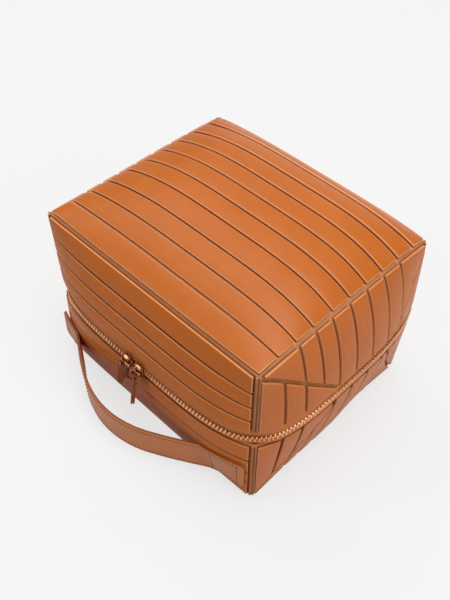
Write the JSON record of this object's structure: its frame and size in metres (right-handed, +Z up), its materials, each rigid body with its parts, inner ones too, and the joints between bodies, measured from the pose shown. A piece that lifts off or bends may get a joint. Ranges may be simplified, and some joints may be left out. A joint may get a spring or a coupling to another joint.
{
  "type": "cosmetic bag",
  "caption": "Soft box-shaped leather cosmetic bag of sewn strips, with a zip round the front and ends, sliders with leather pulls and a carrying strap on the front.",
  "frame": {"origin": "middle of the base, on the surface that the bag stands on", "axes": "+Z up, +X along the length to the right end, -Y out of the front with the strap and the sliders"},
  "size_m": [0.202, 0.1956, 0.1441],
  "materials": {
    "strip_leather": "smooth satin",
    "ground_leather": "suede",
    "zip_tape": "woven matt",
    "copper_metal": "polished"
  },
  "bodies": {
    "root": {"back_strip_1": "strip_leather", "back_strip_2": "strip_leather", "back_strip_3": "strip_leather", "back_strip_4": "strip_leather", "back_strip_5": "strip_leather", "back_strip_6": "strip_leather", "base_panel": "ground_leather", "front_strip_1": "strip_leather", "front_strip_2": "strip_leather", "front_strip_3": "strip_leather", "front_strip_4": "strip_leather", "front_strip_5": "strip_leather", "front_strip_6": "strip_leather", "ground_back": "ground_leather", "ground_front_lower": "ground_leather", "ground_front_upper": "ground_leather", "ground_left_lower": "ground_leather", "ground_left_upper": "ground_leather", "ground_lid": "ground_leather", "ground_right_lower": "ground_leather", "ground_right_upper": "ground_leather", "handle_strap": "strip_leather", "left_end_lower": "strip_leather", "left_end_upper": "strip_leather", "left_gusset_back_lower": "strip_leather", "left_gusset_back_upper": "strip_leather", "left_gusset_front_lower": "strip_leather", "left_gusset_front_upper": "strip_leather", "pull_left": "strip_leather", "pull_right": "strip_leather", "right_end_lower": "strip_leather", "right_end_upper": "strip_leather", "right_gusset_back_lower": "strip_leather", "right_gusset_back_upper": "strip_leather", "right_gusset_front_lower": "strip_leather", "right_gusset_front_upper": "strip_leather", "ring_left": "copper_metal", "ring_right": "copper_metal", "slider_left": "copper_metal", "slider_right": "copper_metal", "top_strip_1": "strip_leather", "top_strip_10": "strip_leather", "top_strip_2": "strip_leather", "top_strip_3": "strip_leather", "top_strip_4": "strip_leather", "top_strip_5": "strip_leather", "top_strip_6": "strip_leather", "top_strip_7": "strip_leather", "top_strip_8": "strip_leather", "top_strip_9": "strip_leather", "zip_chain": "copper_metal", "zip_tape_lower": "zip_tape", "zip_tape_upper": "zip_tape"}
  },
  "joints": []
}
